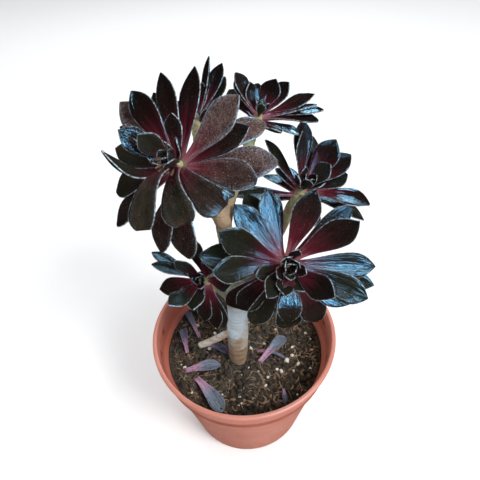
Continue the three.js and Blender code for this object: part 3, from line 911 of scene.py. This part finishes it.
# ---- Stem ---------------------------------------------------------------------------------------------
@dataclass
class Stem:
    """The trunk with its side branches and the pale cut stub, grown as one piece."""

    route: list[tuple] = field(default_factory=lambda: [
        (-5.5, -13, 60), (-5.5, -13, 88), (-5, -13, 104), (-4, -13, 130), (-3.2, -12.5, 155), (-5, -11, 190),
        (-8.5, -8, 226)])
    radii: list[float] = field(default_factory=lambda: [6.2, 6.5, 7.5, 7.5, 6.8, 5.3, 4.5])
    branches: dict[str, tuple] = field(default_factory=lambda: {
        "rosette_left_top": ([(-8.5, -8, 224), (-14, -5, 240)], 4.2),
        "rosette_front": ([(-4, -12, 158), (6, -8, 172), (17, -9, 187)], 3.8),
        "rosette_left_low": ([(-3.5, -12, 150), (-9, -10, 160), (-15, -8, 169)], 3.0),
        "rosette_right": ([(-4, -12, 166), (8, 1, 178), (26, 16, 189.5)], 3.6),
        "rosette_back_right": ([(-8, -8, 218), (-2, 8, 232), (7, 27, 239)], 3.4),
        "rosette_back_left": ([(-8, -8, 220), (-12, 8, 232), (-19, 26, 236)], 3.4)})
    stub: tuple = ((-6, -13, 125), (-33, -16, 112), 2.7)
    voxel: float = 0.75
    neck: float = 3.2
    flare: float = 1.15
    straight: float = 4.0
    smoothings: int = 3

    def body(self) -> BMesh:
        """Trunk, branches and stub as overlapping closed tubes."""
        bm = bmesh.new()
        tapered_tube(bm, [mm(*p) for p in self.route], [r * MM for r in self.radii], 24, 60)
        for rosette in ROSETTES:
            bends, radius = self.branches[rosette.name]
            seat = rosette.middle - rosette.axis * (rosette.core_below * MM)
            points = [mm(*p) for p in bends] + [seat - rosette.axis * (self.straight * MM), seat]
            wide = radius * self.flare
            radii = [(wide + (self.neck - wide) * i / (len(points) - 1)) * MM for i in range(len(points))]
            tapered_tube(bm, points, radii, 16, 30)
        start, end, radius = self.stub
        points = [mm(*start), mm(*start).lerp(mm(*end), 0.5), mm(*end)]
        tapered_tube(bm, points, [radius * MM, radius * MM, radius * 0.9 * MM], 14, 10)
        return face_outward(bm)

    def youth(self, place: Vector) -> float:
        """How green the shoot is: old on the trunk and the stub, young towards the heads."""
        nearest = min(((place - r.middle).length for r in ROSETTES), default=1.0)
        return smoothstep(0.030, 0.010, nearest) if place.z > 0.16 else 0.0

    def build(self, bark: Material) -> Object:
        """Fuses the tubes, roughens the bark with ring scars and dresses it.

        Args:
            bark: The bark's material.

        Returns:
            The stem.
        """
        carrier = put("stem_tubes", to_mesh("stem_tubes", self.body()))
        fuse = carrier.modifiers.new("fuse", "REMESH")
        fuse.mode = "VOXEL"
        fuse.voxel_size = self.voxel * MM
        fused = evaluated(carrier)
        bpy.data.objects.remove(carrier)
        bm = bmesh.new()
        bm.from_mesh(fused)
        bpy.data.meshes.remove(fused)
        for _ in range(self.smoothings):
            bmesh.ops.smooth_vert(bm, verts=list(bm.verts), factor=0.5, use_axis_x=True, use_axis_y=True,
                                  use_axis_z=True)
        bm.normal_update()
        young = bm.verts.layers.float.new("young")
        for v in bm.verts:
            ring = noise.noise(Vector((v.co.x * 60.0, v.co.y * 60.0, v.co.z * 700.0)))
            lump = noise.noise(v.co * 120.0)
            v[young] = self.youth(v.co)
            v.co += v.normal * ((0.28 * ring * (1.0 - v[young]) + 0.4 * lump) * MM)
        return finish_piece("stem_bark", bm, bark, stands_for="stem")


# ---- Pot ----------------------------------------------------------------------------------------------
@dataclass
class Pot:
    """Moulded plastic pot: rolled lip, collar band, step, tapered body and drain holes."""

    height: float = POT_HEIGHT
    rim: float = RIM_RADIUS
    base: float = 50.5
    wall: float = 1.8
    floor: float = 2.0
    collar: float = 66.6
    shoulder: float = 63.6
    shoulder_height: float = 84.0
    lip: float = 66.8
    lip_height: float = 3.2
    steps: int = 240
    holes: int = 6
    hole_radius: float = 4.0
    hole_ring: float = 31.0
    dents: tuple = (172.0, 190.0, 222.0, 340.0, 8.0, 40.0, 95.0, 130.0)
    dent_depth: float = 1.1
    dent_reach: float = 2.2
    dent_height: float = 97.0
    # How much painted shadow a dent's depth adds to the inside mark.
    dent_shade: float = 1.6

    def outline(self) -> list[tuple[float, float]]:
        """The wall's outline as radius and height, from the middle of the underside to that of the floor."""
        base, shoulder, collar, rim, lip = self.base, self.shoulder, self.collar, self.rim, self.lip
        top, step, wall, floor = self.height, self.shoulder_height, self.wall, self.floor
        lip_foot = top - self.lip_height
        inner_foot = base + (shoulder - base) * floor / step - wall
        return [
            (0.0, 0.0), (self.hole_ring, 0.0), (base - 1.6, 0.0), (base - 0.5, 0.35), (base, 1.6),
            (base + 0.52 * (shoulder - base), 0.52 * step), (shoulder - 0.4, step - 3.6),
            (shoulder + 0.2, step - 2.4), (collar - 1.0, step + 0.9), (collar - 0.2, step + 2.6),
            (rim - 1.9, lip_foot - 0.5), (rim - 1.5, lip_foot), (rim - 0.5, lip_foot + 0.25),
            (rim, lip_foot + 1.0), (rim, top - 1.3), (rim - 0.45, top - 0.4), (rim - 1.3, top),
            (lip + 0.9, top), (lip + 0.25, top - 0.3), (lip, top - 1.1), (collar - wall, step + 3.4),
            (collar - wall - 0.5, step + 2.0), (shoulder - wall, step + 0.4),
            (inner_foot + 0.6, floor + 1.0), (inner_foot - 0.6, floor), (self.hole_ring, floor), (0.0, floor),
        ]

    def dent(self, place: Vector) -> float:
        """Depth in millimetres of the small finger dents on the collar's inside."""
        angle = math.degrees(math.atan2(place.y, place.x)) % 360.0
        height = place.z / MM
        reach = math.hypot(place.x, place.y) / MM
        if height < self.shoulder_height + 3.0 or reach > self.rim - 2.2:
            return 0.0
        rise = ((height - self.dent_height) / self.dent_reach) ** 2
        turns = (((angle - d) / self.dent_reach) ** 2 for d in self.dents)
        return max(self.dent_depth * math.exp(-turn - rise) for turn in turns)

    def build(self, plastic: Material) -> Object:
        """Spins the wall, drills the drain holes and dresses the pot.

        Args:
            plastic: The pot's material.

        Returns:
            The pot.
        """
        bm = spun(self.outline(), self.steps, 14, "inside", lambda e: (
            e.calc_length() > 3.0 * MM and max(v.co.z for v in e.verts) > self.floor * MM))
        inside = bm.verts.layers.float["inside"]
        for v in bm.verts:
            reach = Vector((v.co.x, v.co.y, 0.0))
            inner = self.base + (self.shoulder - self.base) * v.co.z / MM / self.shoulder_height - 0.8
            within = reach.length / MM < (inner if v.co.z / MM < self.shoulder_height else self.lip + 0.2)
            # Painted shade: the inside wall, above the floor, is marked to darken from 106 mm down to 92 mm
            # and below.
            shaded = within and v.co.z > 0.5 * self.floor * MM
            v[inside] = smoothstep(106.0, 92.0, v.co.z / MM) if shaded else 0.0
            if reach.length > 0.01:
                dent = self.dent(v.co)
                # Each dent adds painted shadow in proportion to its depth.
                v[inside] += self.dent_shade * dent if within else 0.0
                v.co -= reach.normalized() * (dent * MM)
        piece = finish_piece("pot_shell", face_outward(bm), plastic, stands_for="pot")
        drill = bmesh.new()
        for i in range(self.holes):
            spot = heading_vector(360.0 * i / self.holes, 0.0) * (self.hole_ring * MM)
            spot += UP * (0.5 * self.floor * MM)
            bmesh.ops.create_cone(drill, cap_ends=True, segments=32, radius1=self.hole_radius * MM,
                                  radius2=self.hole_radius * MM, depth=4.0 * self.floor * MM,
                                  matrix=Matrix.Translation(spot))
        cutter = put("drill", to_mesh("drill", drill))
        cut = piece.modifiers.new("drain_holes", "BOOLEAN")
        cut.operation, cut.solver, cut.object = "DIFFERENCE", "EXACT", cutter
        bpy.context.view_layer.update()
        drilled = evaluated(piece)
        piece.modifiers.clear()
        piece.data = drilled
        bpy.data.objects.remove(cutter)
        return piece


# ---- Soil ---------------------------------------------------------------------------------------------
# Grains are made in small batches, which is quicker than one growing mesh.
GRAIN_BATCH = 40
# The large perlite grains, placed by the photograph as x, y and radius in millimetres.
PERLITE_SPOTS = [
    (32.0, -17.0, 2.6), (-28.0, -2.0, 1.8), (24.0, -1.0, 1.9), (38.0, -5.0, 1.5), (37.0, -12.0, 1.4),
    (41.0, -19.0, 1.6), (27.0, -26.0, 1.7), (14.0, -36.0, 1.3), (-5.0, -48.0, 1.4), (-42.0, 3.0, 1.6),
    (-39.0, 21.0, 1.8), (5.0, -6.0, 1.5), (-24.0, 12.0, 1.4),
]


@dataclass
class SoilBed:
    """Moist peat in the pot, with clods, perlite, bark chips and root threads lying in its surface."""

    level: float = SOIL_LEVEL
    mound: float = 5.0
    mound_reach: float = 22.0
    lump: float = 1.1
    radius: float = 61.3
    floor: float = 2.3
    floor_radius: float = 48.9
    rings: int = 90
    steps: int = 220
    seed: int = 41
    fade_from: float = 61.0
    fade_width: float = 12.0

    def height(self, x: float, y: float) -> float:
        """Height of the ground in millimetres, as on the solid model."""
        reach = math.hypot(x - TRUNK_FOOT[0], y - TRUNK_FOOT[1]) / self.mound_reach
        swell = math.sin(0.16 * x + 1.1) * math.cos(0.19 * y + 0.4) + 0.6 * math.sin(0.31 * x - 0.23 * y)
        fade = min(max((self.fade_from - math.hypot(x, y)) / self.fade_width, 0.0), 1.0)
        return self.level + self.mound * math.exp(-reach * reach) + self.lump * swell * fade

    def crumb(self, x: float, y: float) -> float:
        """Fine relief of the ground in millimetres."""
        coarse = noise.fractal(Vector((x, y, 3.0)) * 0.16, 0.9, 2.1, 4)
        fine = noise.noise(Vector((x, y, 9.0)) * 0.9)
        lumps = noise.noise(Vector((x, y, 5.0)) * 0.42)
        return 1.3 * coarse + 0.9 * lumps + 0.45 * fine

    def surface(self, x: float, y: float, above: float = 0.0) -> Vector:
        """A point on the ground with its relief, or a little above it, in metres."""
        return mm(x, y, self.height(x, y) + self.crumb(x, y) + above)

    def ground(self) -> BMesh:
        """The soil's body, spun from its outline, its top raised by the ground's relief."""
        top = (self.level - 0.5) * MM
        corners = [(0.0, self.floor), (self.floor_radius, self.floor), (self.radius, self.level - 1.0),
                   (self.radius, self.level), (0.0, self.level)]
        bm = spun(corners, self.steps, self.rings, divide=lambda e: min(v.co.z for v in e.verts) > top)
        for v in bm.verts:
            if v.co.z > top:
                x, y = v.co.x / MM, v.co.y / MM
                v.co.z = (self.height(x, y) + self.crumb(x, y)) * MM
        return face_outward(bm)

    def spot(self, rng: random.Random, margin: float) -> Vector:
        """A random point on the ground, clear of the wall and of the trunk."""
        while True:
            turn, reach = rng.uniform(0.0, FULL_TURN), (self.radius - margin) * math.sqrt(rng.random())
            x, y = reach * math.cos(turn), reach * math.sin(turn)
            if math.hypot(x - TRUNK_FOOT[0], y - TRUNK_FOOT[1]) > 7.0 + margin:
                return self.surface(x, y)

    def grains(self, count: int, sizes: tuple[float, float], squash: float, sink: float, seed: int,
               places: list[tuple[float, float, float]] | None = None) -> BMesh:
        """Irregular grains that sit in the ground.

        Args:
            count: How many are strewn.
            sizes: Smallest and largest radius, in millimetres.
            squash: Least height as a share of the width.
            sink: How deep they sit, as a share of their radius.
            seed: Seed of the draw.
            places: Listed grains as x, y and radius, in millimetres.

        Returns:
            The grains.
        """
        rng = random.Random(seed)
        whole = bmesh.new()
        whole.verts.layers.float.new("tone")
        wanted = [(self.surface(x, y), r) for x, y, r in places or []]
        for _ in range(count):
            radius = sizes[0] + (sizes[1] - sizes[0]) * rng.random() ** 2.2
            wanted.append((self.spot(rng, radius), radius))
        batch = bmesh.new()
        tones = batch.verts.layers.float.new("tone")
        for i, (place, radius) in enumerate(wanted):
            tone = rng.random() ** 2
            turn = Quaternion((rng.gauss(0, 1), rng.gauss(0, 1), rng.gauss(0, 1)), rng.uniform(0.0, 3.0))
            shape = Matrix.Diagonal((1.0, rng.uniform(0.6, 1.0), rng.uniform(squash, 1.0), 1.0))
            matrix = (Matrix.Translation(place + UP * (radius * (0.7 - sink) * MM))
                      @ turn.to_matrix().to_4x4() @ shape)
            fineness = 1 if radius < 1.2 else 2
            made = bmesh.ops.create_icosphere(batch, subdivisions=fineness, radius=radius * MM,
                                              matrix=matrix)["verts"]
            for v in made:
                v[tones] = tone
                rough = noise.noise(v.co * (1.1 / (radius * MM)) + Vector((i, 0, 0)))
                v.co += (v.co - place) * (0.34 * rough)
            if i % GRAIN_BATCH == GRAIN_BATCH - 1:
                append_mesh(whole, batch)
                batch = bmesh.new()
                tones = batch.verts.layers.float.new("tone")
        append_mesh(whole, batch)
        return whole

    def threads(self, count: int, seed: int, long: float, thick: float, bend: float) -> BMesh:
        """Root threads and bark curls that wind over the ground.

        Args:
            count: How many are strewn.
            seed: Seed of the draw.
            long: Greatest length, in millimetres.
            thick: Greatest radius, in millimetres.
            bend: Greatest turn over a third of the length, in degrees.

        Returns:
            Closed thin tubes.
        """
        rng = random.Random(seed)
        whole = bmesh.new()
        for _ in range(count):
            start = self.spot(rng, 4.0)
            turn, length = rng.uniform(0.0, 360.0), long * (0.25 + 0.75 * rng.random() ** 2)
            curl = rng.uniform(-bend, bend)
            points = [start]
            for i in range(5):
                ahead = points[-1] + heading_vector(turn + curl * i * 0.5, 0.0) * (length / 5.0 * MM)
                x, y = ahead.x / MM, ahead.y / MM
                if math.hypot(x, y) > self.radius - 1.5:
                    break
                points.append(self.surface(x, y, rng.uniform(0.1, 0.9)))
            if len(points) < 3:
                continue
            radius = thick * (0.3 + 0.7 * rng.random() ** 2) * MM
            part = bmesh.new()
            tapered_tube(part, points, [radius * 0.5, radius, radius * 0.4], 5, 8)
            append_mesh(whole, face_outward(part))
        return whole

    def chips(self, count: int, seed: int) -> BMesh:
        """Flat bark chips with rounded corners."""
        rng = random.Random(seed)
        whole = bmesh.new()
        for _ in range(count):
            part = bmesh.new()
            long, wide = rng.uniform(2.0, 5.5), rng.uniform(0.9, 2.2)
            bmesh.ops.create_cube(part, size=MM)
            bmesh.ops.scale(part, vec=(long, wide, rng.uniform(0.4, 0.9)), verts=list(part.verts))
            bmesh.ops.bevel(part, geom=list(part.edges), offset=0.16 * MM, segments=1, affect="EDGES",
                            profile=0.5, material=-1)
            tilt = Quaternion((rng.gauss(0, 1), rng.gauss(0, 1), 0.2), rng.uniform(0.0, 0.6))
            matrix = (Matrix.Translation(self.spot(rng, 3.5) + UP * (0.25 * MM)) @ tilt.to_matrix().to_4x4()
                      @ Matrix.Rotation(rng.uniform(0.0, 6.28), 4, "Z"))
            bmesh.ops.transform(part, matrix=matrix, verts=list(part.verts))
            append_mesh(whole, part)
        return whole

    def build(self) -> None:
        """Makes the soil and all that lies loose in it."""
        soil = GrainFinish("peat", (0.008, 0.006, 0.004), (0.105, 0.072, 0.042), 420.0).build()
        finish_piece("soil_ground", self.ground(), soil, stands_for="soil")
        finish_piece("soil_clods", self.grains(1300, (0.45, 3.0), 0.45, 0.6, self.seed), soil)
        perlite = GrainFinish("perlite", (0.55, 0.50, 0.42), (0.86, 0.82, 0.74), 500.0, 0.9).build()
        white = self.grains(110, (0.35, 1.5), 0.7, 0.3, self.seed + 1, PERLITE_SPOTS)
        finish_piece("soil_perlite", white, perlite)
        tan = GrainFinish("root_thread", (0.22, 0.15, 0.09), (0.52, 0.40, 0.27), 300.0).build()
        finish_piece("soil_threads", self.threads(300, self.seed + 2, 16.0, 0.42, 70.0), tan)
        umber = GrainFinish("bark_curl", (0.09, 0.055, 0.033), (0.36, 0.23, 0.14), 300.0).build()
        finish_piece("soil_curls", self.threads(170, self.seed + 4, 24.0, 1.3, 120.0), umber)
        chip = GrainFinish("bark_chip", (0.09, 0.045, 0.022), (0.34, 0.2, 0.11), 260.0).build()
        finish_piece("soil_chips", self.chips(150, self.seed + 3), chip)


# ---- Fallen leaves ------------------------------------------------------------------------------------
@dataclass
class FallenLeaves:
    """Withered leaves that lie on the soil, each with its foot, tip, width and bow in millimetres."""

    soil: SoilBed
    rows: tuple = (
        ("fallen_leaf_1", (-35, 0), (-12, -10), 9, -0.1, 0.9, 0.8),
        ("fallen_leaf_2", (-47, -21), (-19, -19), 10, -0.06, 0.15, 0.35),
        ("fallen_leaf_3", (-38, -27), (-18, -54), 11, -0.09, 0.1, 0.1),
        ("fallen_leaf_4", (11, -19), (34, 3), 10, -0.08, 0.3, 0.2),
        ("fallen_leaf_5", (-37, 9), (-48, 35), 7, -0.05, 0.6, 0.9),
        ("fallen_leaf_6", (-46, -5), (-51, 18), 8, -0.08, 0.5, 1.0),
        ("fallen_leaf_7", (27, -40), (26, -51), 5, -0.04, 0.6, 1.0),
        ("fallen_leaf_8", (-34, 31), (-21, 20), 7, -0.06, 0.3, 0.1),
    )
    arch: tuple = ((9, -8), (31, -15))

    def lying(self, near: tuple, far: tuple, width: float, bow: float, **rest: float) -> Leaf:
        """A leaf from one place on the ground to another.

        Args:
            near: The place of its foot, in millimetres.
            far: The place of its tip, in millimetres.
            width: Its width, in millimetres.
            bow: Its bow, as a share of the length.
            rest: Other fields of the leaf.

        Returns:
            The leaf.
        """
        start, end = (mm(x, y, self.soil.height(x, y)) for x, y in (near, far))
        chord = (end - start).normalized()
        up = (UP - chord * chord.z).normalized()
        return Leaf(start, chord, up, (end - start).length / MM, width, bow, **rest)

    def strip(self, layers: LeafLayers) -> BMesh:
        """A thin rolled leaf that arches over the fourth one, both of its ends in the ground."""
        return self.lying(*self.arch, 3.2, -0.19, tone=0.9, seed=950, flesh=0.4, wave=0.3, fold=0.6,
                          foot=0.7).build(layers)

    def build(self, skin: Material) -> None:
        """Lays each leaf on the ground.

        Args:
            skin: The withered leaves' material.
        """
        layers = LeafLayers()
        for i, (name, foot, tip, width, bow, fold, tone) in enumerate(self.rows):
            bm = self.lying(foot, tip, width, bow, tone=tone, seed=900 + i, flesh=0.55, wave=0.6, fold=fold,
                            foot=0.42).build(layers)
            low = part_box(name)[0].z - min(v.co.z for v in bm.verts)
            bmesh.ops.translate(bm, vec=(0.0, 0.0, low + 0.8 * MM), verts=list(bm.verts))
            finish_piece(name + "_blade", bm, skin, stands_for=name)
        finish_piece("withered_strip", self.strip(layers), skin)


# ---- Studio -------------------------------------------------------------------------------------------
@dataclass
class Studio:
    """Pale floor, soft light and the camera above the front of the plant."""

    camera_at: tuple = (0.0, -0.1791, 0.3687)
    pitch: float = 43.08
    yaw: float = -0.31
    roll: float = -3.12
    focal_pixels: float = 400.0
    frame_pixels: float = 480.0
    sensor: float = 36.0
    aim: tuple = (0.0, 0.0, 0.18)
    floor_size: float = 4.0
    floor_drop: float = 0.0005
    lamps: tuple = (
        ("key", (0.75, -0.62, 1.15), (0.45, 0.45), 15.0, (1.0, 0.985, 0.96), True, True),
        ("back", (-0.1, 1.1, 1.1), (1.2, 1.2), 5.0, (1.0, 1.0, 1.0), True, False),
        ("sky", (0.6, -0.85, 0.9), (0.12, 0.4), 22.0, (0.42, 0.76, 1.0), False, True),
        ("sky_back", (0.4, 1.25, 0.55), (0.6, 0.2), 9.0, (0.42, 0.76, 1.0), False, True),
    )

    def camera(self) -> None:
        """The camera at the photograph's viewing angle."""
        data = bpy.data.cameras.new("camera")
        data.sensor_width = self.sensor
        data.lens = self.sensor * self.focal_pixels / self.frame_pixels
        camera = put("camera", data)
        turn = (Matrix.Rotation(math.radians(self.yaw), 4, "Z")
                @ Matrix.Rotation(math.radians(90.0 - self.pitch), 4, "X")
                @ Matrix.Rotation(math.radians(self.roll), 4, "Z"))
        camera.matrix_world = Matrix.Translation(self.camera_at) @ turn
        data.clip_start = 0.01
        bpy.context.scene.camera = camera

    def floor(self) -> None:
        """A wide pale floor."""
        bm = bmesh.new()
        bmesh.ops.create_grid(bm, x_segments=1, y_segments=1, size=self.floor_size)
        floor = put("floor", to_mesh("floor", bm))
        floor.data.materials.append(Surface("pale_floor", 0.9, Base_Color=(0.93, 0.93, 0.93, 1.0)).material)
        floor.location.z = -self.floor_drop
        floor.visible_glossy = False

    def lights(self) -> None:
        """Two soft white lamps, two narrow blue ones for the gloss, and an even pale surround."""
        for name, place, size, power, colour, diffuse, glossy in self.lamps:
            data = bpy.data.lights.new(name, "AREA")
            data.shape, data.energy, data.color = "RECTANGLE", power, colour
            data.size, data.size_y = size
            lamp = put(name, data)
            lamp.location = place
            lamp.visible_diffuse, lamp.visible_glossy = diffuse, glossy
            lamp.rotation_mode = "QUATERNION"
            lamp.rotation_quaternion = (Vector(self.aim) - Vector(place)).to_track_quat("-Z", "Y")
        world = bpy.data.worlds.new("surround")
        bpy.context.scene.world = world
        world.use_nodes = True
        ground = world.node_tree.nodes["Background"]
        ground.inputs[0].default_value = (0.96, 0.98, 1.0, 1.0)
        ground.inputs[1].default_value = 0.8
        world.cycles_visibility.glossy = False
        bpy.context.scene.view_settings.view_transform = "Standard"

    def build(self) -> None:
        """Sets up the whole studio."""
        self.camera()
        self.floor()
        self.lights()


def main() -> None:
    """Builds the studio and every part of the plant in order."""
    logging.basicConfig(level=logging.INFO, format="%(name)s: %(message)s")
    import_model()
    Studio().build()
    Pot().build(PotFinish().build())
    soil = SoilBed()
    soil.build()
    bark = BarkFinish().build()
    Stem().build(bark)
    leaf_skin, hair, dry = LeafFinish().build(), HairFinish().build(), HUSK_FINISH.build()
    for rosette in ROSETTES:
        rosette.build(leaf_skin, hair, bark, dry)
    FallenLeaves(soil).build(FallenFinish().build())


if __name__ == "__main__":
    main()
